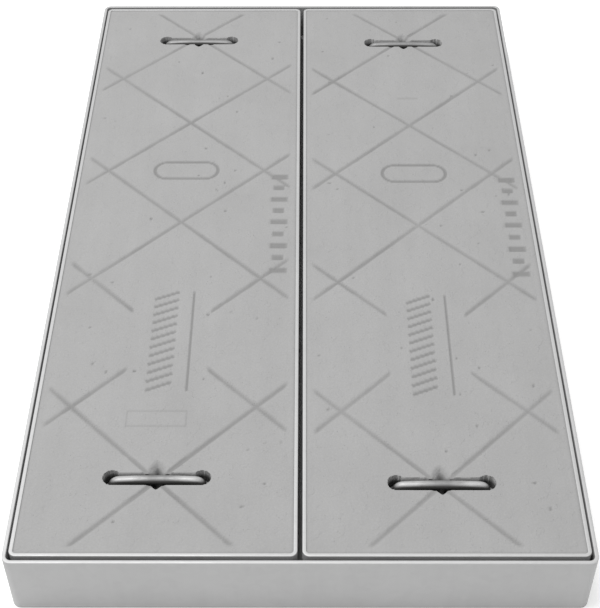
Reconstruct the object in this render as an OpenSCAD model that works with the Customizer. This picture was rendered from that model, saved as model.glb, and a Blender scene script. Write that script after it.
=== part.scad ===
// Two-leaf chamber cover: a welded steel frame, two concrete-filled leaves and four drop handles.
// Millimetres. +Z is up and the frame stands on Z = 0. The long sides run along Y, the front is at -Y.
// The origin is at the middle of the frame's underside.

/* [Frame] */
// Outside width of the frame, across both leaves
frame_w = 730; // [600:5:900]
// Outside length of the frame, along the leaves
frame_l = 1230; // [1000:5:1500]
// Height of the frame
frame_h = 98; // [85:1:125]
// Thickness of the frame's wall bars
wall_t = 5; // [4:0.5:10]
// Outside radius of the frame's bent corners
frame_corner_r = 12; // [11:0.5:15]
// Length of end wall that each bent side wall takes up at a corner
corner_return = 15; // [12:1:30]

/* [Seat and centre beam] */
// Leg length of the seat angles, which sets the height of the seat
seat_leg = 35; // [25:1:45]
// Thickness of the seat angles
seat_t = 4; // [3:0.5:6]
// Width of the centre beam's flange
beam_flange_w = 60; // [40:1:80]
// Thickness of the centre beam's flange
beam_flange_t = 5; // [4:0.5:8]
// Thickness of the centre beam's web
beam_web_t = 6; // [4:0.5:10]
// Plate thickness of the cradles at the beam's ends
cradle_t = 5; // [4:0.5:8]
// Length of beam that lies in each cradle
beam_bearing = 30; // [20:1:60]
// Play of the beam in its cradles, each side
beam_play = 0.5; // [0.3:0.1:1.5]

/* [Leaves] */
// Gap between a leaf's long side and the frame
side_gap = 2.5; // [2:0.5:8]
// Gap between a leaf's ends and the frame
end_gap = 5.5; // [2:0.5:8]
// Gap between the two leaves
joint_gap = 6; // [2:0.5:8]
// Thickness of the leaves' steel edge bars
edge_t = 5; // [3:0.5:8]
// Outside radius of the leaves' corners
leaf_corner_r = 9; // [8.5:0.5:11]
// Length of end bar that each bent edge bar takes up at a corner
leaf_return = 11; // [9:1:25]
// Thickness of the bottom pan
pan_t = 2; // [1:0.5:4]
// How far the concrete's face lies below the steel edge
concrete_drop = 0.5; // [0:0.1:2]

/* [Reinforcement] */
// Diameter of the reinforcing bars
rebar_d = 8; // [6:1:12]
// Concrete between the pan and the long bars
rebar_cover = 11; // [5:1:15]
// Distance of the outer long bars from the leaf's middle
long_bar_x = 110; // [90:5:130]
// Distance of the nearest cross bars from a handle's middle
cross_bar_offset = 70; // [40:5:80]

/* [Handles] */
// Diameter of the handle bar
handle_d = 12; // [10:0.5:14]
// Mean distance from a leaf's end to the middle of its handle
handle_inset = 111.5; // [80:0.5:150]
// How far the left leaf's two handles are set off, away from the front
handle_shift_left = 10; // [-15:1:15]
// How far the right leaf's two handles are set off, away from the front
handle_shift_right = 2; // [-15:1:15]
// How far the left leaf's handles are set off to the right
handle_side_left = -4; // [-8:1:8]
// How far the right leaf's handles are set off to the right
handle_side_right = 1; // [-8:1:8]
// Distance between the legs of a handle
handle_pitch = 116; // [100:1:140]
// Radius of the handle's bends, at the middle of the bar
handle_bend_r = 10; // [9:0.5:14]
// Depth of the top of the handle bar below the leaf's face
handle_sink = 0.5; // [0.5:0.5:4]
// Width of the slot that the handle lies in
slot_w = 18; // [14:0.5:22]
// How far the middle of the slot lies before the handle, towards the front
slot_shift = 2; // [0:0.5:4]
// Depth of that slot
slot_depth = 16; // [15.5:0.5:20]
// Diameter of the round pockets at the ends of the slot
pocket_d = 21; // [20:0.5:25]
// Length of the hook dish across the slot
dish_l = 48; // [40:1:60]
// Width of the hook dish
dish_w = 24; // [18:1:30]
// Depth of the hook dish
dish_depth = 27; // [24:1:30]
// How far the middle of the dish lies beyond the handle, away from the front
dish_shift = 5; // [-6:1:6]
// Depth of the top of the guide sleeves below the leaf's face
sleeve_depth = 22; // [20:0.5:26]
// Wall of the guide sleeves
sleeve_wall = 2.5; // [1.5:0.5:4]
// Thickness of the neck ring at the top of a guide sleeve
neck_t = 4; // [3:0.5:6]
// Clearance of a leg in its neck ring, all round
leg_play = 0.5; // [0.4:0.1:1]
// Thickness of the stop collars
stop_t = 4; // [3:0.5:6]
// Clearance of a stop collar in its sleeve, all round
stop_play = 1; // [0.4:0.1:1.5]
// Clearance between the stop collars and the pan
stop_lift = 1; // [0.5:0.5:3]

/* [Surface marks] */
// Half the distance between two crossings of the lattice, along and across
lattice = 125; // [100:1:140]
// How far the left leaf's lattice is set off, away from the front
lattice_shift_left = 12; // [-15:1:15]
// How far the right leaf's lattice is set off, away from the front
lattice_shift_right = 4; // [-15:1:15]
// How far the left leaf's lattice is set off to the right
lattice_side_left = -4; // [-8:1:8]
// How far the right leaf's lattice is set off to the right
lattice_side_right = 0; // [-8:1:8]
// Width of the grooves
groove_w = 6; // [4:0.5:9]
// Depth of the grooves
groove_depth = 2.5; // [1:0.5:4]
// Plain border between the steel edge and the grooves
border_w = 9; // [5:1:25]
// Depth of the shallow plain marks
mark_depth = 1; // [0.5:0.5:2]
// Half the width of the field that stays free of grooves round the ribbed mark
field_half_w = 54; // [40:1:80]
// Length of that field
field_l = 222; // [180:1:260]

/* [Hidden] */
$fn = 48;
bond = 0.1;                 // bond line between the concrete and the steel in it
cut = 1;                    // how far a cutting solid runs past a face

leaf_w = (frame_w - 2 * wall_t - 2 * side_gap - joint_gap) / 2;
leaf_l = frame_l - 2 * wall_t - 2 * end_gap;
leaf_x = (leaf_w + joint_gap) / 2;      // middle of a leaf, from the middle of the frame
leaf_z = seat_leg;                      // underside of the leaves
leaf_top = frame_h;
concrete_top = leaf_top - concrete_drop;
concrete_z = leaf_z + pan_t;

inner_w = frame_w - 2 * wall_t;
inner_l = frame_l - 2 * wall_t;

handle_y = leaf_l / 2 - handle_inset;               // half the distance between a leaf's handles
handle_z = leaf_top - handle_sink - handle_d / 2;   // middle of the grip bar
leg_x = handle_pitch / 2;
stop_z = concrete_z + stop_lift;
sleeve_top = leaf_top - sleeve_depth;
neck_z = sleeve_top - neck_t;                       // underside of the neck ring
sleeve_id = pocket_d;
sleeve_od = pocket_d + 2 * sleeve_wall;

long_bar_z = concrete_z + rebar_cover + rebar_d / 2;
cross_bar_z = long_bar_z + rebar_d;
clear_span = handle_y - cross_bar_offset;
cross_bar_y = [for (side = [-1, 1])
    for (y = [clear_span / 5, clear_span * 3 / 5, clear_span, handle_y + cross_bar_offset]) side * y];

function handle_shift(side) = side < 0 ? handle_shift_left : handle_shift_right;
function handle_side(side) = side < 0 ? handle_side_left : handle_side_right;
function lattice_place(side) = side < 0
    ? [lattice_side_left, lattice_shift_left]
    : [lattice_side_right, lattice_shift_right];

// ---- outlines ----

// Rectangle with round corners, centred
module rounded(w, l, r) {
    square([w - 2 * r, l], center = true);
    square([w, l - 2 * r], center = true);
    for (x = [-1, 1], y = [-1, 1])
        translate([x * (w / 2 - r), y * (l / 2 - r)]) circle(r);
}

// Bar t thick round the inside of a rounded rectangle
module ring(w, l, r, t) {
    difference() {
        rounded(w, l, r);
        rounded(w - 2 * t, l - 2 * t, r - t);
    }
}

// The part of such a bar on one long side, with its bent ends; side is -1 or 1 along X
module bent_side(w, l, r, t, ret, side) {
    intersection() {
        ring(w, l, r, t);
        translate([side * w / 2, 0]) square([2 * ret, l + 2 * cut], center = true);
    }
}

// The straight part at one short end; side is -1 or 1 along Y
module straight_end(w, l, t, ret, side) {
    translate([0, side * (l - t) / 2]) square([w - 2 * ret, t], center = true);
}

// ---- frame ----

module frame_side(side) {
    color("gainsboro") linear_extrude(frame_h)
        bent_side(frame_w, frame_l, frame_corner_r, wall_t, corner_return, side);
}

module frame_end(side) {
    color("gainsboro") linear_extrude(frame_h)
        straight_end(frame_w, frame_l, wall_t, corner_return, side);
}

// Angle section: a leg along Z at X = 0 and a flange at the top, towards +X
module angle_section() {
    square([seat_t, seat_leg]);
    translate([0, seat_leg - seat_t]) square([seat_leg, seat_t]);
}

// Long seat angle, trimmed to the frame's round inner corners
module seat_side(side) {
    color("silver") intersection() {
        mirror([side > 0 ? 1 : 0, 0, 0])
            translate([-inner_w / 2, inner_l / 2, 0])
                rotate([90, 0, 0]) linear_extrude(inner_l) angle_section();
        linear_extrude(seat_leg)
            rounded(inner_w, inner_l, frame_corner_r - wall_t + bond);
    }
}

// Short seat angle, between the flanges of the long ones
module seat_end(side) {
    span = inner_w - 2 * seat_leg;
    color("silver") mirror([0, side > 0 ? 1 : 0, 0])
        translate([-span / 2, -inner_l / 2, 0])
            rotate([90, 0, 90]) linear_extrude(span) angle_section();
}

// T section, flange level with the seat
module beam() {
    length = inner_l - 2 * (seat_leg + beam_play);
    color("silver") translate([0, length / 2, 0]) rotate([90, 0, 0]) linear_extrude(length) {
        translate([-beam_flange_w / 2, seat_leg - beam_flange_t]) square([beam_flange_w, beam_flange_t]);
        translate([-beam_web_t / 2, cradle_t]) square([beam_web_t, seat_leg - cradle_t - beam_flange_t + bond]);
    }
}

// Stirrup welded to the seat angle's leg; the beam's web stands in it
module cradle(side) {
    reach = seat_leg - seat_t + beam_play + beam_bearing;
    inside = beam_web_t + 2 * beam_play;
    top = seat_leg - beam_flange_t - beam_play;
    color("silver") mirror([0, side > 0 ? 1 : 0, 0])
        translate([0, -inner_l / 2 + seat_t + reach, 0]) rotate([90, 0, 0]) linear_extrude(reach)
            difference() {
                translate([-inside / 2 - cradle_t, 0]) square([inside + 2 * cradle_t, top]);
                translate([-inside / 2, cradle_t]) square([inside, top]);
            }
}

// ---- leaves ----

module place_leaf(side) {
    translate([side * leaf_x, 0, 0]) children();
}

// The middle of one handle; end is -1 near, 1 far
module place_handle(side, end) {
    place_leaf(side) translate([handle_side(side), end * handle_y + handle_shift(side), 0]) children();
}

module leaf_edge_side(side, bar_side) {
    color("whitesmoke") place_leaf(side) translate([0, 0, leaf_z]) linear_extrude(leaf_top - leaf_z)
        bent_side(leaf_w, leaf_l, leaf_corner_r, edge_t, leaf_return, bar_side);
}

module leaf_edge_end(side, bar_side) {
    color("whitesmoke") place_leaf(side) translate([0, 0, leaf_z]) linear_extrude(leaf_top - leaf_z)
        straight_end(leaf_w, leaf_l, edge_t, leaf_return, bar_side);
}

// Outline of what the edge bars enclose, less the bond line
module leaf_inside() {
    gap = edge_t + bond;
    rounded(leaf_w - 2 * gap, leaf_l - 2 * gap, leaf_corner_r - edge_t);
}

module pan(side) {
    color("silver") place_leaf(side) translate([0, 0, leaf_z]) linear_extrude(pan_t) leaf_inside();
}

module long_rebars(side, grow = 0) {
    length = leaf_l - 2 * edge_t + 2 * grow;
    color("dimgray") place_leaf(side) for (x = [-1, 0, 1])
        translate([x * long_bar_x, length / 2, long_bar_z])
            rotate([90, 0, 0]) cylinder(d = rebar_d + 2 * grow, h = length);
}

module cross_rebars(side, grow = 0) {
    length = leaf_w - 2 * edge_t + 2 * grow;
    color("dimgray") place_leaf(side) for (y = cross_bar_y)
        translate([-length / 2, y + handle_shift(side), cross_bar_z])
            rotate([0, 90, 0]) cylinder(d = rebar_d + 2 * grow, h = length);
}

// Two inverted cups that guide the legs of one handle
module sleeves(side, end) {
    color("gray") place_handle(side, end) for (x = [-1, 1])
        translate([x * leg_x, 0, concrete_z]) difference() {
            cylinder(d = sleeve_od, h = sleeve_top - concrete_z);
            translate([0, 0, -cut]) cylinder(d = sleeve_id, h = neck_z - concrete_z + cut);
            cylinder(d = handle_d + 2 * leg_play, h = sleeve_top);
        }
}

// ---- recesses and marks in the concrete, cut from the leaf's face ----

// Lens outline: two arcs that meet at points dish_l apart
module lens(w, l) {
    r = (w * w + l * l) / (4 * w);
    intersection() {
        translate([r - w / 2, 0]) circle(r, $fn = 96);
        translate([w / 2 - r, 0]) circle(r, $fn = 96);
    }
}

module handle_recess() {
    translate([0, -slot_shift, leaf_top - slot_depth]) linear_extrude(slot_depth + cut)
        square([handle_pitch, slot_w], center = true);
    for (x = [-1, 1]) translate([x * leg_x, 0, 0]) {
        translate([0, 0, sleeve_top - bond]) cylinder(d = pocket_d, h = sleeve_depth + cut);
        translate([0, 0, concrete_z - cut])
            cylinder(d = sleeve_od + 2 * bond, h = sleeve_top - concrete_z + bond + cut);
    }
    // boat-shaped dish: a lens in plan, a round bottom along Y
    translate([0, dish_shift, 0]) intersection() {
        translate([0, 0, leaf_top - dish_depth]) linear_extrude(dish_depth + cut) lens(dish_w, dish_l);
        translate([-dish_w, 0, leaf_top - dish_depth + dish_l / 2])
            rotate([0, 90, 0]) cylinder(d = dish_l, h = 2 * dish_w, $fn = 96);
    }
}

// One groove of the lattice through a crossing, at 45 degrees; turn is -1 or 1
module groove_line(crossing, turn) {
    translate([0, crossing]) rotate(turn * 45)
        square([groove_w, 2 * (leaf_w + lattice)], center = true);
}

// Plain field round the ribbed mark, where no groove runs
module field() {
    translate([0, -2 * lattice]) square([2 * field_half_w, field_l], center = true);
}

module lattice_outline(place) {
    reach = leaf_w / 2 - edge_t - border_w;
    difference() {
        intersection() {
            square([2 * reach, leaf_l - 2 * edge_t - 2 * border_w], center = true);
            translate(place) for (row = [-2:2], turn = [-1, 1])
                groove_line(2 * row * lattice, turn);
        }
        translate(place) field();
    }
}

// Row of short slanted ribs with one plain line beside it
rib_count = 12;
rib_step = 16;
rib_l = 38;
rib_w = 5;
rib_slant = 24;

module ribbed_mark() {
    for (i = [0:rib_count - 1])
        translate([-10, (i - (rib_count - 1) / 2) * rib_step]) rotate(rib_slant)
            square([rib_l, rib_w], center = true);
    translate([29, 0]) square([3, rib_count * rib_step], center = true);
}

// Outline of a flat oval
module oval_mark() {
    difference() {
        union() { square([60, 46], center = true); for (x = [-1, 1]) translate([x * 30, 0]) circle(23); }
        union() { square([60, 36], center = true); for (x = [-1, 1]) translate([x * 30, 0]) circle(18); }
    }
}

// Row of plain blocks, two sizes in turn, along a leaf's right-hand border
block_count = 9;
block_step = 27;

module block_row() {
    for (i = [0:block_count - 1])
        translate([leaf_w / 2 - 27, (i - (block_count - 1) / 2) * block_step])
            square([i % 2 == 0 ? 26 : 16, 11], center = true);
}

module marks(place) {
    translate(place) {
        translate([0, -2 * lattice]) ribbed_mark();
        translate([0, lattice]) oval_mark();
    }
    translate([0, place.y]) block_row();
}

module concrete(side) {
    color("darkgray") difference() {
        place_leaf(side) difference() {
            translate([0, 0, concrete_z]) linear_extrude(concrete_top - concrete_z) leaf_inside();
            translate([0, 0, concrete_top - groove_depth]) linear_extrude(groove_depth + cut)
                lattice_outline(lattice_place(side));
            translate([0, 0, concrete_top - mark_depth]) linear_extrude(mark_depth + cut)
                marks(lattice_place(side));
        }
        for (end = [-1, 1]) place_handle(side, end) handle_recess();
        long_rebars(side, bond);
        cross_rebars(side, bond);
    }
}

// ---- handles ----

module handle(side, end) {
    straight = handle_pitch - 2 * handle_bend_r;
    color("lightgray") place_handle(side, end) {
        translate([-straight / 2, 0, handle_z]) rotate([0, 90, 0]) cylinder(d = handle_d, h = straight);
        for (x = [-1, 1]) {
            translate([x * straight / 2, 0, handle_z - handle_bend_r]) rotate([90, 0, 0])
                rotate([0, 0, x > 0 ? 0 : 90]) rotate_extrude(angle = 90)
                    translate([handle_bend_r, 0]) circle(d = handle_d);
            translate([x * leg_x, 0, stop_z]) cylinder(d = handle_d, h = handle_z - handle_bend_r - stop_z);
        }
    }
}

// Collars welded on the feet of the legs; they stop the handle at the neck rings
module stops(side, end) {
    color("gray") place_handle(side, end) for (x = [-1, 1])
        translate([x * leg_x, 0, stop_z]) difference() {
            cylinder(d = sleeve_id - 2 * stop_play, h = stop_t);
            translate([0, 0, -cut]) cylinder(d = handle_d + 2 * bond, h = stop_t + 2 * cut);
        }
}

frame_side(-1);  // wall_left
frame_side(1);  // wall_right
frame_end(-1);  // wall_front
frame_end(1);  // wall_rear
seat_side(-1);  // seat_left
seat_side(1);  // seat_right
seat_end(-1);  // seat_front
seat_end(1);  // seat_rear
beam();  // centre_beam
cradle(-1);  // beam_cradle_front
cradle(1);  // beam_cradle_rear
leaf_edge_side(-1, -1);  // left_edge_outer
leaf_edge_side(-1, 1);  // left_edge_inner
leaf_edge_end(-1, -1);  // left_edge_near
leaf_edge_end(-1, 1);  // left_edge_far
pan(-1);  // left_pan
concrete(-1);  // left_concrete
long_rebars(-1);  // left_long_rebars
cross_rebars(-1);  // left_cross_rebars
sleeves(-1, -1);  // left_near_sleeves
sleeves(-1, 1);  // left_far_sleeves
leaf_edge_side(1, 1);  // right_edge_outer
leaf_edge_side(1, -1);  // right_edge_inner
leaf_edge_end(1, -1);  // right_edge_near
leaf_edge_end(1, 1);  // right_edge_far
pan(1);  // right_pan
concrete(1);  // right_concrete
long_rebars(1);  // right_long_rebars
cross_rebars(1);  // right_cross_rebars
sleeves(1, -1);  // right_near_sleeves
sleeves(1, 1);  // right_far_sleeves
handle(-1, -1);  // left_near_handle
stops(-1, -1);  // left_near_stops
handle(-1, 1);  // left_far_handle
stops(-1, 1);  // left_far_stops
handle(1, -1);  // right_near_handle
stops(1, -1);  // right_near_stops
handle(1, 1);  // right_far_handle
stops(1, 1);  // right_far_stops
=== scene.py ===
"""Looks of the two-leaf chamber cover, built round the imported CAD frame. Metres; +Z up; the front is at -Y."""

import math

import bmesh
import bpy
import numpy as np
from mathutils import Matrix, Vector


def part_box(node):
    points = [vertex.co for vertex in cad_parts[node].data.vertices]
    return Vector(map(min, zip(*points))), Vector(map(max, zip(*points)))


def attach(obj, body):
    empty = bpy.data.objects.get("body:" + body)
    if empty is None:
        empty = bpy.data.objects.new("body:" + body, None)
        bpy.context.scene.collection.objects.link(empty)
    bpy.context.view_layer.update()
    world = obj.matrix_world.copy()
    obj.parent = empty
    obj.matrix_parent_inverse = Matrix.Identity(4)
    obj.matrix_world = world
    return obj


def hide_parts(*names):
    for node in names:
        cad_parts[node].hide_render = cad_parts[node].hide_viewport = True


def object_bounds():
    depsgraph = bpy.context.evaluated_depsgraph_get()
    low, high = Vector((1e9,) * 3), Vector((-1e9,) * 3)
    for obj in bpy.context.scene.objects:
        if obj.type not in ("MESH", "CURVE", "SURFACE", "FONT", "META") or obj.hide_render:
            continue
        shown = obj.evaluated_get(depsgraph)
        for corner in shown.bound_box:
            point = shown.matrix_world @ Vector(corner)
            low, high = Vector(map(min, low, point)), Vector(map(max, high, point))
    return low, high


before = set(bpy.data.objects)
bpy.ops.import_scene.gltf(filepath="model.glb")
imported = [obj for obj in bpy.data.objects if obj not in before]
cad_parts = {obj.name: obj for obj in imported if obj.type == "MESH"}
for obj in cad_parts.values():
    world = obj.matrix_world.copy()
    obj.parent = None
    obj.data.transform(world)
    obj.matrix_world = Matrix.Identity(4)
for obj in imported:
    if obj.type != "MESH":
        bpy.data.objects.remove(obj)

MM = 0.001
CAD_LOW, CAD_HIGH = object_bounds()
TOP = CAD_HIGH.z
SIDES = ("left", "right")
ENDS = ("near", "far")

# ---------------------------------------------------------------- sizes that repeat the CAD part's

LATTICE = 125 * MM              # half the distance between two crossings
LATTICE_AT = {"left": (-4 * MM, 12 * MM), "right": (0.0, 4 * MM)}
GROOVE_W, GROOVE_DEPTH = 6 * MM, 2.2 * MM
BORDER = 9 * MM                 # plain border inside the steel edge
FIELD = (54 * MM, 111 * MM)     # half sizes of the field round the ribbed mark
MARK_DEPTH = 1.1 * MM
HANDLE_PITCH = 116 * MM
SLOT_W, SLOT_DEPTH, SLOT_SHIFT = 18 * MM, 16 * MM, -2 * MM
POCKET_D = 21 * MM
POCKET_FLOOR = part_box("left_pan")[1].z + 0.5 * MM
HANDLE_X = 183 * MM             # the handles' middles, about, on either side of the joint
DISH_L, DISH_W, DISH_DEPTH, DISH_SHIFT = 48 * MM, 24 * MM, 27 * MM, 5 * MM
CORNER_RETURN = {"frame": 15 * MM, "leaf": 11 * MM}
CORNER_R = {"frame": 12 * MM, "leaf": 9 * MM}
WALL_T = {"frame": 5 * MM, "leaf": 5 * MM}
HANDLE_BEND = 10 * MM

FINE, COARSE = 1.15 * MM, 2.9 * MM              # steps of the concrete's grid, round the handles and elsewhere
FRAME_ARRIS, LEAF_ARRIS = 0.9 * MM, 0.8 * MM    # roundings of the bars' long edges
HANDLE_ARCH = 1.2 * MM                          # how much lower a grip is at its ends
HANDLE_BOW = {("left", "near"): 0.5 * MM, ("left", "far"): 0.3 * MM,
              ("right", "near"): 0.4 * MM, ("right", "far"): 0.2 * MM}

# ---------------------------------------------------------------- camera, floor and light

def make_camera():
    """Hand-held view from in front of the cover, about 1.5 m above the floor."""
    focal_px, long_side_px = 1364.1, 608
    pitch, yaw, roll = (math.radians(a) for a in (44.908, -0.372, -0.263))
    place = Vector((7.8 * MM, -1.5660, TOP + 1.3933))
    ahead = Vector((math.sin(yaw) * math.cos(pitch), math.cos(yaw) * math.cos(pitch),
                    -math.sin(pitch)))
    right = Vector((math.cos(yaw), -math.sin(yaw), 0))
    up = right.cross(ahead)
    right, up = (right * math.cos(roll) + up * math.sin(roll),
                 up * math.cos(roll) - right * math.sin(roll))
    data = bpy.data.cameras.new("camera")
    data.sensor_width = 36
    data.lens = focal_px * data.sensor_width / long_side_px
    camera = bpy.data.objects.new("camera", data)
    camera.matrix_world = Matrix((
        (right.x, up.x, -ahead.x, place.x),
        (right.y, up.y, -ahead.y, place.y),
        (right.z, up.z, -ahead.z, place.z),
        (0, 0, 0, 1),
    ))
    bpy.context.scene.collection.objects.link(camera)
    bpy.context.scene.camera = camera


def link(name, mesh):
    piece = bpy.data.objects.new(name, mesh)
    bpy.context.scene.collection.objects.link(piece)
    return piece


def area_light(name, place, target, size, watts):
    data = bpy.data.lights.new(name, "AREA")
    data.shape = "DISK"
    data.size = size
    data.energy = watts
    lamp = link(name, data)
    lamp.location = place
    lamp.rotation_euler = (Vector(target) - Vector(place)).to_track_quat("-Z", "Y").to_euler()


def make_stage():
    """Pale floor that glows faintly, white sky and one large soft lamp, high up on the left."""
    half, under = 30, 0.5 * MM
    floor_grey, floor_glow, sky_glow = 0.8, 0.4, 0.60
    lamp_place, lamp_size, lamp_watts = (-1.4, 0.1, 4.6), 3.0, 220
    mesh = bpy.data.meshes.new("floor")
    z = CAD_LOW.z - under
    corners = [(-half, -half, z), (half, -half, z), (half, half, z), (-half, half, z)]
    mesh.from_pydata(corners, [], [(0, 1, 2, 3)])
    floor = link("floor", mesh)
    material, shader, _ = new_material("floor_paint", roughness=0.9)
    shader.inputs["Base Color"].default_value = grey(floor_grey)
    shader.inputs["Specular IOR Level"].default_value = 0.2
    shader.inputs["Emission Color"].default_value = (1, 1, 1, 1)
    shader.inputs["Emission Strength"].default_value = floor_glow
    mesh.materials.append(material)

    world = bpy.data.worlds.new("sky")
    world.use_nodes = True
    background = world.node_tree.nodes["Background"].inputs
    background["Color"].default_value = (1, 1, 1, 1)
    background["Strength"].default_value = sky_glow
    bpy.context.scene.world = world
    area_light("key_lamp", lamp_place, (0, 0, 0), lamp_size, lamp_watts)
    bpy.context.scene.view_settings.view_transform = "Standard"


# ---------------------------------------------------------------- materials

class Nodes:
    """Short way to add and join a material's nodes; coordinates are the object's own, in metres."""

    def __init__(self, tree):
        self.tree = tree
        self.where = tree.nodes.new("ShaderNodeTexCoord").outputs["Object"]

    def feed(self, value, socket):
        if isinstance(value, bpy.types.NodeSocket):
            self.tree.links.new(value, socket)
        elif value is not None:
            socket.default_value = value

    def noise(self, scale, detail=3.0, rough=0.5, stretch=None):
        node = self.tree.nodes.new("ShaderNodeTexNoise")
        where = self.where
        if stretch is not None:
            mapping = self.tree.nodes.new("ShaderNodeMapping")
            mapping.inputs["Scale"].default_value = stretch
            self.feed(where, mapping.inputs["Vector"])
            where = mapping.outputs["Vector"]
        self.feed(where, node.inputs["Vector"])
        for name, value in (("Scale", scale), ("Detail", detail), ("Roughness", rough)):
            node.inputs[name].default_value = value
        return node.outputs["Fac"]

    def cells(self, scale, output="Distance"):
        node = self.tree.nodes.new("ShaderNodeTexVoronoi")
        self.feed(self.where, node.inputs["Vector"])
        node.inputs["Scale"].default_value = scale
        return node.outputs[output]

    def spread(self, value, low, high, to_low=0.0, to_high=1.0):
        node = self.tree.nodes.new("ShaderNodeMapRange")
        names = ("Value", "From Min", "From Max", "To Min", "To Max")
        for name, v in zip(names, (value, low, high, to_low, to_high)):
            self.feed(v, node.inputs[name])
        return node.outputs["Result"]

    def math(self, operation, a, b=None):
        node = self.tree.nodes.new("ShaderNodeMath")
        node.operation = operation
        self.feed(a, node.inputs[0])
        self.feed(b, node.inputs[1])
        return node.outputs[0]

    def mix(self, amount, a, b):
        node = self.tree.nodes.new("ShaderNodeMix")
        node.data_type = "RGBA"
        self.feed(amount, node.inputs[0])
        self.feed(a, node.inputs[6])
        self.feed(b, node.inputs[7])
        return node.outputs[2]

    def attribute(self, name):
        node = self.tree.nodes.new("ShaderNodeAttribute")
        node.attribute_name = name
        return node.outputs["Fac"]

    def split(self, vector):
        node = self.tree.nodes.new("ShaderNodeSeparateXYZ")
        self.feed(vector, node.inputs[0])
        return node.outputs

    def bump(self, height, distance, strength=1.0, normal=None):
        node = self.tree.nodes.new("ShaderNodeBump")
        node.inputs["Distance"].default_value = distance
        node.inputs["Strength"].default_value = strength
        self.feed(height, node.inputs["Height"])
        self.feed(normal, node.inputs["Normal"])
        return node.outputs["Normal"]


def grey(value, warm=0.0):
    return (value * (1 + warm), value, value * (1 - warm), 1)


def new_material(name, roughness=0.5, metallic=0.0):
    material = bpy.data.materials.new(name)
    material.use_nodes = True
    shader = material.node_tree.nodes["Principled BSDF"]
    shader.inputs["Roughness"].default_value = roughness
    shader.inputs["Metallic"].default_value = metallic
    return material, shader, Nodes(material.node_tree)


def concrete_material():
    """Trowelled grey concrete: clouds, sand grain, fine pores, grooves, marks, pits and rim darker by their
    depth, and painted shade deep in the recesses.
    """
    material, shader, n = new_material("concrete", roughness=0.88)
    clouds = n.spread(n.noise(9, 4, 0.55), 0.3, 0.7)
    blotches = n.spread(n.noise(48, 5, 0.6), 0.3, 0.7)
    grain = n.noise(420, 4, 0.7)
    strokes = n.noise(30, 3, 0.6, stretch=(1.0, 0.16, 1.0))
    pores = n.spread(n.cells(260), 0.05, 0.16)
    colour = n.mix(clouds, grey(0.286, 0.004), grey(0.314, 0.002))
    colour = n.mix(n.spread(blotches, 0, 1, 0, 0.5), colour, grey(0.325, 0.004))
    colour = n.mix(n.spread(strokes, 0.35, 0.65, 0, 0.28), colour, grey(0.268, 0.002))
    colour = n.mix(n.spread(grain, 0.42, 0.72, 0, 0.34), colour, grey(0.24, 0.006))
    colour = n.mix(n.spread(grain, 0.44, 0.25, 0, 0.25), colour, grey(0.38, 0.006))
    some = n.spread(n.noise(70, 2), 0.56, 0.62)
    pore_mask = n.math("MULTIPLY", n.math("SUBTRACT", 1.0, pores), some)
    colour = n.mix(pore_mask, colour, grey(0.17, 0.006))
    # darker where this attribute is high: in the grooves, marks and pits by their depth, and in a band along the
    # steel edge
    colour = n.mix(n.math("MULTIPLY", n.attribute("depth_darkening"), 0.55), colour, grey(0.12, 0.012))
    # painted shade: from 6 mm under the top the colour fades to near black at 12 mm, in the handles' slots,
    # pockets and hook dishes
    painted_recess_shade = n.spread(n.split(n.where)[2], TOP - 6 * MM, TOP - 12 * MM, 0, 0.95)
    colour = n.mix(painted_recess_shade, colour, grey(0.04, 0.02))
    n.feed(colour, shader.inputs["Base Color"])
    n.feed(n.spread(blotches, 0, 1, 0.82, 0.95), shader.inputs["Roughness"])
    fine = n.bump(grain, 0.35 * MM)
    soft = n.bump(n.noise(160, 3, 0.6), 0.5 * MM, 0.6, fine)
    n.feed(n.bump(n.math("MULTIPLY", pores, some), 0.4 * MM, 0.7, soft), shader.inputs["Normal"])
    return material


def steel_material(name, wall, arris):
    """Galvanised steel: the greys of its faces and of its top arris, which is worn."""
    roughness = 0.5
    material, shader, n = new_material(name, roughness, metallic=0.35)
    clouds = n.spread(n.noise(16, 4, 0.6), 0.3, 0.7)
    spangle = n.cells(110, output="Color")
    streaks = n.noise(60, 3, 0.6, stretch=(1.0, 1.0, 0.12))
    scuffs = n.noise(300, 4, 0.7, stretch=(0.3, 1.0, 1.0))
    faces = n.mix(clouds, grey(wall * 0.93), grey(wall * 1.06))
    faces = n.mix(n.spread(n.split(spangle)[0], 0, 1, 0, 0.16), faces, grey(wall * 0.8))
    faces = n.mix(n.spread(streaks, 0.4, 0.7, 0, 0.2), faces, grey(wall * 1.15))
    worn = n.mix(n.spread(scuffs, 0.5, 0.72, 0, 0.4), grey(arris), grey(arris * 0.82))
    height = n.split(n.where)[2]
    on_top = n.spread(height, TOP - 1.6 * MM, TOP - 0.3 * MM)
    n.feed(n.mix(on_top, faces, worn), shader.inputs["Base Color"])
    n.feed(n.spread(clouds, 0, 1, roughness - 0.06, roughness + 0.1), shader.inputs["Roughness"])
    fine = n.bump(n.noise(500, 3, 0.6), 0.08 * MM)
    n.feed(n.bump(n.noise(40, 3, 0.5), 0.6 * MM, 0.5, fine), shader.inputs["Normal"])
    return material


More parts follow.
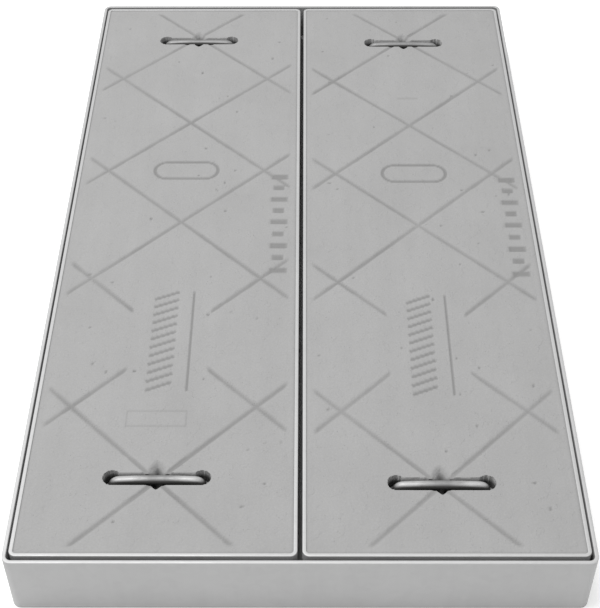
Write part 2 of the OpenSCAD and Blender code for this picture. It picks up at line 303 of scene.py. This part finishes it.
def handle_material():
    """Round bar, galvanised, with a painted highlight towards the ends of each grip, stronger on the near
    handles, and painted shade on the side that faces down.
    """
    material, shader, n = new_material("handle_steel", 0.5, 0.25)
    scuffs = n.noise(220, 4, 0.7, stretch=(0.25, 1.0, 1.0))
    patches = n.noise(70, 4, 0.6)
    from_joint = n.math("ABSOLUTE", n.split(n.where)[0])
    from_middle = n.math("ABSOLUTE", n.math("SUBTRACT", from_joint, HANDLE_X))
    end = n.spread(from_middle, 10 * MM, 34 * MM)
    colour = n.mix(n.spread(patches, 0.35, 0.65), grey(0.19), grey(0.24))
    # painted highlight: the grip's ends are lighter than its middle, most on the near handles (grey 0.42) and
    # least on the far ones (0.26)
    painted_highlight = n.mix(n.spread(n.split(n.where)[1], -400 * MM, 400 * MM), grey(0.42), grey(0.26))
    colour = n.mix(end, colour, painted_highlight)
    colour = n.mix(n.spread(scuffs, 0.52, 0.7, 0, 0.6), colour, grey(0.20, 0.02))
    normal = n.tree.nodes.new("ShaderNodeNewGeometry").outputs["Normal"]
    facing_up = n.split(normal)[2]
    # painted shade: the colour fades to near black as the surface turns from up towards the side and down, so
    # the lower part of the bar is dark
    colour = n.mix(n.spread(facing_up, 0.55, 0.84), grey(0.06, 0.02), colour)
    n.feed(colour, shader.inputs["Base Color"])
    n.feed(n.spread(scuffs, 0.3, 0.7, 0.42, 0.6), shader.inputs["Roughness"])
    n.feed(n.bump(n.noise(420, 3, 0.6), 0.12 * MM), shader.inputs["Normal"])
    return material


def rebar_material():
    """Mill scale with rust."""
    material, shader, n = new_material("reinforcement", 0.75, 0.4)
    scale, rust = (0.10, 0.09, 0.085, 1), (0.24, 0.11, 0.055, 1)
    colour = n.mix(n.spread(n.noise(90, 4, 0.7), 0.4, 0.6), scale, rust)
    n.feed(colour, shader.inputs["Base Color"])
    n.feed(n.bump(n.noise(500, 3, 0.6), 0.2 * MM), shader.inputs["Normal"])
    return material


# ---------------------------------------------------------------- height maths for the concrete

def smooth(low, high, x):
    t = np.clip((x - low) / (high - low), 0, 1)
    return t * t * (3 - 2 * t)


def waves(x, y, cell, seed):
    """Smooth noise from -1 to 1 whose hills are about a cell across."""
    ix, iy = np.floor(x / cell).astype(int), np.floor(y / cell).astype(int)
    fx, fy = smooth(0, 1, x / cell - ix), smooth(0, 1, y / cell - iy)
    ix, iy = ix - ix.min(), iy - iy.min()
    table = np.random.default_rng(seed).uniform(-1, 1, (ix.max() + 2, iy.max() + 2))
    low = table[ix, iy] * (1 - fx) + table[ix + 1, iy] * fx
    high = table[ix, iy + 1] * (1 - fx) + table[ix + 1, iy + 1] * fx
    return low * (1 - fy) + high * fy


def box_distance(x, y, half_w, half_l, turn=0.0):
    """Distance outside a rectangle, negative inside it."""
    c, s = math.cos(turn), math.sin(turn)
    u, v = np.abs(x * c + y * s) - half_w, np.abs(y * c - x * s) - half_l
    return np.hypot(np.maximum(u, 0), np.maximum(v, 0)) + np.minimum(np.maximum(u, v), 0)


def sunk(distance, depth, slope):
    """Depth of a recess whose wall is slope wide and whose rim is softly rounded."""
    return depth * smooth(slope, -slope, distance)


def groove_depth(x, y, at, reach_x, reach_y, seed):
    """The lattice of soft grooves at 45 degrees, free of the field round the ribbed mark."""
    wobble = 0.5 * MM * waves(x, y, 14 * MM, seed) + 0.25 * MM * waves(x, y, 5 * MM, seed + 1)
    inside = -box_distance(x, y, reach_x, reach_y)
    worn = 0.8 + 0.2 * waves(x, y, 60 * MM, seed + 2)
    x, y = x - at[0], y - at[1]
    deepest = np.zeros_like(x)
    for row in range(-2, 3):
        for turn in (-1, 1):
            across = np.abs(x - turn * (y - 2 * row * LATTICE)) / math.sqrt(2) + wobble
            deepest = np.maximum(deepest, 1 - smooth(0.1 * GROOVE_W, 0.75 * GROOVE_W, across))
    clear = box_distance(x, y + 2 * LATTICE, FIELD[0], FIELD[1])
    ends = smooth(-1 * MM, 5 * MM, inside + 2 * wobble) * smooth(-1 * MM, 6 * MM, clear + 2 * wobble)
    return GROOVE_DEPTH * deepest * ends * worn


def mark_depth(x, y, place, half_w, side):
    """Plain marks: ribs with a line, a flat oval, a row of blocks, and a dash or a blank plate."""
    rib_count, rib_step, rib_half, rib_turn = 12, 16 * MM, (19 * MM, 2.5 * MM), math.radians(24)
    line_x, slope = 29 * MM, 0.9 * MM
    block_x = x - half_w + 27 * MM
    x, y = x - place[0], y - place[1]
    found = box_distance(x - line_x, y + 2 * LATTICE, 1.5 * MM, rib_count * rib_step / 2)
    for i in range(rib_count):
        at = (i - (rib_count - 1) / 2) * rib_step - 2 * LATTICE
        found = np.minimum(found, box_distance(x + 10 * MM, y - at, *rib_half, rib_turn))
    oval = box_distance(x, y - LATTICE, 30 * MM, 1e-6) - 20.5 * MM
    found = np.minimum(found, np.abs(oval) - 2.5 * MM)
    block_count, block_step = 9, 27 * MM
    for i in range(block_count):
        at = (i - (block_count - 1) / 2) * block_step
        half = (13 if i % 2 == 0 else 8) * MM
        found = np.minimum(found, box_distance(block_x, y - at, half, 5.5 * MM))
    depth = sunk(found, MARK_DEPTH, slope)
    faint_depth, faint_slope = 0.5 * MM, 1.2 * MM
    if side == "right":
        dash = box_distance(x, y - 2.6 * LATTICE, 17 * MM, 1.8 * MM)
        depth = np.maximum(depth, sunk(dash, faint_depth, faint_slope))
    if side == "left":
        plate = np.abs(box_distance(x + 8 * MM, y + 396 * MM, 40 * MM, 13 * MM)) - 0.8 * MM
        depth = np.maximum(depth, sunk(plate, faint_depth, faint_slope))
    return depth


def recess_depth(x, y):
    """Slot, round pockets and hook dish of one handle, about the handle's middle."""
    slope = 0.9 * MM
    leg = HANDLE_PITCH / 2
    slot = sunk(box_distance(x, y - SLOT_SHIFT, leg, SLOT_W / 2), SLOT_DEPTH, slope)
    pocket = sunk(np.hypot(np.abs(x) - leg, y) - POCKET_D / 2, TOP - POCKET_FLOOR, slope)
    v = y - DISH_SHIFT
    arc = (DISH_W ** 2 + DISH_L ** 2) / (4 * DISH_W)
    plan = np.hypot(np.abs(x) + arc - DISH_W / 2, v) - arc
    bottom = DISH_DEPTH - DISH_L / 2 + np.sqrt(np.maximum((DISH_L / 2) ** 2 - v ** 2, 0))
    far_side = smooth(3 * MM, -13 * MM, plan) * (1 - 0.5 * smooth(0, 6 * MM, v))
    dish = bottom * np.where(v < 0, smooth(1.2 * MM, -5 * MM, plan), far_side)
    return np.maximum(np.maximum(slot, pocket), dish)


def pit_depth(x, y, half_w, half_l, seed):
    """Small air holes, scattered."""
    rng = np.random.default_rng(seed)
    depth = np.zeros_like(x)
    count, nearby = 46, 4 * MM
    for _ in range(count):
        px, py = rng.uniform(-0.92, 0.92) * half_w, rng.uniform(-0.96, 0.96) * half_l
        radius = rng.uniform(0.8, 2.1) * MM
        near = (np.abs(x - px) < nearby) & (np.abs(y - py) < nearby)
        outside = np.hypot(x[near] - px, y[near] - py) - radius
        depth[near] = np.maximum(depth[near], sunk(outside, radius, 0.8 * MM))
    return depth


# ---------------------------------------------------------------- meshes

def lines_between(low, high, coarse, fine, zones):
    """Grid lines from low to high, fine inside the zones and coarse elsewhere."""
    stops = [low, *[s for zone in zones for s in zone], high]
    lines = [low]
    for i, (a, b) in enumerate(zip(stops, stops[1:])):
        step = fine if i % 2 else coarse
        count = max(1, round((b - a) / step))
        lines += [a + (b - a) * k / count for k in range(1, count + 1)]
    return np.array(lines)


def shade_smooth(mesh, angle=40):
    mesh.polygons.foreach_set("use_smooth", [True] * len(mesh.polygons))
    mesh.set_sharp_from_angle(angle=math.radians(angle))


def make_concrete(side, seed, material):
    """The concrete filling: one closed mesh, its top worked out point by point."""
    node = f"{side}_concrete"
    low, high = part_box(node)
    middle = (low + high) / 2
    half_w, half_l = (high.x - low.x) / 2, (high.y - low.y) / 2
    handles = [sum(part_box(f"{side}_{end}_handle"), Vector()) / 2 - middle for end in ENDS]
    zone_x, zone_y = 74 * MM, 34 * MM
    xs = lines_between(-half_w, half_w, COARSE, FINE, [(-zone_x, zone_x)])
    ys = lines_between(-half_l, half_l, COARSE, FINE, [(h.y - zone_y, h.y + zone_y) for h in handles])
    x, y = np.meshgrid(xs, ys, indexing="ij")
    corner = CORNER_R["leaf"] - WALL_T["leaf"]
    grooves = groove_depth(x, y, LATTICE_AT[side], half_w - BORDER, half_l - BORDER, seed)
    marks = mark_depth(x, y, LATTICE_AT[side], half_w, side)
    pits = pit_depth(x, y, half_w, half_l, seed + 7)
    recess = np.maximum(*[recess_depth(x - h.x, y - h.y) for h in handles])
    rim = -box_distance(x, y, half_w, half_l)
    border = (0.5 * MM * (1 - smooth(0, 2.2 * MM, rim))
              + 0.25 * MM * (1 - smooth(0.4 * MM, 1.6 * MM, abs(rim - BORDER))))
    rolling = 0.22 * MM * waves(x, y, 95 * MM, seed + 3) + 0.10 * MM * waves(x, y, 24 * MM, seed + 4)
    rough = 0.05 * MM * waves(x, y, 6 * MM, seed + 5)
    depth = np.maximum(np.maximum(grooves, marks), np.maximum(pits, recess)) + border
    z = high.z - depth - (0.32 * MM + rolling + rough) * smooth(6 * MM, 0, recess)
    # darkening weight: the depth of the grooves, marks and pits, plus a band along the steel edge
    depth_darkening = np.clip(grooves / GROOVE_DEPTH + marks / MARK_DEPTH + pits / MM, 0, 1)
    depth_darkening += 0.35 * (1 - smooth(0, 1.8 * MM, rim))

    # the grid's corners are pulled in to the leaf's round corners
    over_x, over_y = np.abs(x) - (half_w - corner), np.abs(y) - (half_l - corner)
    out = (over_x > 0) & (over_y > 0)
    reach = np.maximum(np.hypot(over_x, over_y), 1e-9)
    pull = np.maximum(over_x, over_y) / reach
    x = np.where(out, np.sign(x) * (half_w - corner + over_x * pull), x)
    y = np.where(out, np.sign(y) * (half_l - corner + over_y * pull), y)

    rows, cols = x.shape
    top = np.stack([x + middle.x, y + middle.y, z], -1).reshape(-1, 3)
    index = np.arange(rows * cols).reshape(rows, cols)
    faces = np.stack([index[:-1, :-1], index[1:, :-1], index[1:, 1:], index[:-1, 1:]], -1).reshape(-1, 4)
    loop = np.concatenate([index[:, 0], index[-1, 1:], index[-2::-1, -1], index[0, -2:0:-1]])
    foot = top[loop].copy()
    foot[:, 2] = low.z
    base = len(top) + np.arange(len(loop))
    skirt = np.stack([loop, base, np.roll(base, -1), np.roll(loop, -1)], -1)
    mesh = bpy.data.meshes.new(f"{side}_concrete_cast")
    all_faces = [*faces.tolist(), *skirt.tolist(), base[::-1].tolist()]
    mesh.from_pydata(np.vstack([top, foot]).tolist(), [], all_faces)
    amount = np.concatenate([depth_darkening.ravel(), np.zeros(len(foot))]).astype(np.float32)
    mesh.attributes.new("depth_darkening", "FLOAT", "POINT").data.foreach_set("value", amount)
    shade_smooth(mesh, 60)
    mesh.materials.append(material)
    piece = link(f"{side}_concrete_cast", mesh)
    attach(piece, f"leaf_{side}")
    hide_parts(node)


def arris_section(thickness, low, high, radius):
    """Cross-section of a bar with rounded arrises: (distance in from the outer face, height)."""
    steps = 4
    corners = ((thickness, low, 0), (thickness, high, 1), (0, high, 2), (0, low, 3))
    section = []
    for off, z, quarter in corners:
        cx = off + (radius if off == 0 else -radius)
        cz = z + (radius if z == low else -radius)
        for k in range(steps + 1):
            a = math.radians(-90 + 90 * quarter + 90 * k / steps)
            section.append((cx + radius * math.cos(a), cz + radius * math.sin(a)))
    return section


def sweep_bar(name, path, section, material, node, body):
    """A bar with the given section along an outline; path holds (point, inward direction) pairs."""
    count = len(section)
    points = [(p[0] + d[0] * off, p[1] + d[1] * off, z) for p, d in path for off, z in section]
    faces = []
    for i in range(len(path) - 1):
        for k in range(count):
            a, b = i * count + k, i * count + (k + 1) % count
            faces.append((a, b, b + count, a + count))
    faces.append(tuple(range(count))[::-1])
    faces.append(tuple(range((len(path) - 1) * count, len(path) * count)))
    mesh = bpy.data.meshes.new(name)
    mesh.from_pydata(points, [], faces)
    mesh.validate()
    made = bmesh.new()
    made.from_mesh(mesh)
    bmesh.ops.recalc_face_normals(made, faces=made.faces)
    made.to_mesh(mesh)
    made.free()
    shade_smooth(mesh, 35)
    mesh.materials.append(material)
    piece = link(name, mesh)
    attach(piece, body)
    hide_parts(node)


def bent_side_path(centre, half_w, half_l, radius, back, side):
    """Outline of a long side with its bent ends, from one seam to the other; side is -1 or 1."""
    steps = 14
    path = [((centre.x + side * (half_w - back), centre.y - half_l), (0, 1))]
    for end in (-1, 1):
        turn = []
        for k in range(steps + 1):
            a = math.pi / 2 * k / steps
            direction = (side * math.sin(a), end * math.cos(a))
            turn.append(((centre.x + side * (half_w - radius) + radius * direction[0],
                          centre.y + end * (half_l - radius) + radius * direction[1]),
                         (-direction[0], -direction[1])))
        path += turn if end < 0 else turn[::-1]
    path.append(((centre.x + side * (half_w - back), centre.y + half_l), (0, -1)))
    return path


def straight_path(centre, half_w, half_l, back, end):
    return [((centre.x + x * (half_w - back), centre.y + end * half_l), (0, -end)) for x in (-1, 1)]


def make_ring(kind, nodes, body, material, radius):
    """The four bars round the frame or a leaf. nodes: left, right, near and far bar."""
    left_low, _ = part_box(nodes[0])
    _, right_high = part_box(nodes[1])
    centre = (left_low + right_high) / 2
    half_w, half_l = (right_high.x - left_low.x) / 2, (right_high.y - left_low.y) / 2
    section = arris_section(WALL_T[kind], left_low.z, right_high.z, radius)
    for node, side in zip(nodes[:2], (-1, 1)):
        path = bent_side_path(centre, half_w, half_l, CORNER_R[kind], CORNER_RETURN[kind], side)
        sweep_bar(f"{node}_bar", path, section, material, node, body)
    for node, end in zip(nodes[2:], (-1, 1)):
        path = straight_path(centre, half_w, half_l, CORNER_RETURN[kind], end)
        sweep_bar(f"{node}_bar", path, section, material, node, body)


def make_handle(side, end, material, bow):
    """Round bar bent into a U, its grip slightly arched from use; bow is the grip's set-back."""
    node = f"{side}_{end}_handle"
    low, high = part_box(node)
    middle = (low + high) / 2
    radius = (high.y - low.y) / 2
    leg = (high.x - low.x) / 2 - radius
    top = high.z - radius
    straight = leg - HANDLE_BEND
    route = [Vector((-leg, 0, low.z)), Vector((-leg, 0, (low.z + top - HANDLE_BEND) / 2))]
    bend_steps, bar_steps, sides = 8, 14, 24
    for k in range(bend_steps + 1):
        a = math.pi / 2 * k / bend_steps
        route.append(Vector((-straight - HANDLE_BEND * math.cos(a), 0,
                             top - HANDLE_ARCH - HANDLE_BEND * (1 - math.sin(a)))))
    for k in range(1, bar_steps):
        x = -straight + 2 * straight * k / bar_steps
        arch = 1 - (x / straight) ** 2
        route.append(Vector((x, bow * arch, top - HANDLE_ARCH * (1 - arch))))
    route += [Vector((-p.x, p.y, p.z)) for p in route[:bend_steps + 3][::-1]]
    points, faces = [], []
    for i, p in enumerate(route):
        ahead = (route[min(i + 1, len(route) - 1)] - route[max(i - 1, 0)]).normalized()
        across = Vector((0, 1, 0)) - ahead * ahead.y
        across.normalize()
        other = ahead.cross(across)
        ring = [middle.to_2d().to_3d() + p + (across * math.cos(t) + other * math.sin(t)) * radius
                for t in (2 * math.pi * s / sides for s in range(sides))]
        points += ring
    for i in range(len(route) - 1):
        for s in range(sides):
            a, b = i * sides + s, i * sides + (s + 1) % sides
            faces.append((a, b, b + sides, a + sides))
    faces.append(tuple(range(sides))[::-1])
    faces.append(tuple(range((len(route) - 1) * sides, len(route) * sides)))
    mesh = bpy.data.meshes.new(f"{node}_bar")
    mesh.from_pydata([tuple(p) for p in points], [], faces)
    shade_smooth(mesh, 50)
    mesh.materials.append(material)
    piece = link(f"{node}_bar", mesh)
    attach(piece, f"handle_{side}_{end}")
    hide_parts(node)


# ---------------------------------------------------------------- assembly

make_camera()
make_stage()

concrete = concrete_material()
frame_steel = steel_material("frame_steel", wall=0.365, arris=0.47)
edge_steel = steel_material("leaf_edge_steel", wall=0.46, arris=0.46)
seat_steel = steel_material("seat_steel", wall=0.33, arris=0.33)
handle_steel = handle_material()
reinforcement = rebar_material()

walls = [f"wall_{place}" for place in ("left", "right", "front", "rear")]
make_ring("frame", walls, "frame", frame_steel, FRAME_ARRIS)
for number, side in enumerate(SIDES):
    first, second = ("outer", "inner") if side == "left" else ("inner", "outer")
    bars = [f"{side}_edge_{place}" for place in (first, second, "near", "far")]
    make_ring("leaf", bars, f"leaf_{side}", edge_steel, LEAF_ARRIS)
    make_concrete(side, 100 * number + 11, concrete)
    for end in ENDS:
        make_handle(side, end, handle_steel, HANDLE_BOW[side, end])

finish_of = {"seat": seat_steel, "centre": seat_steel, "beam": seat_steel, "pan": seat_steel,
             "sleeves": seat_steel, "stops": handle_steel, "rebars": reinforcement}
for name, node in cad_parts.items():
    for word, material in finish_of.items():
        if word in name.split("_"):
            node.data.materials.clear()
            node.data.materials.append(material)
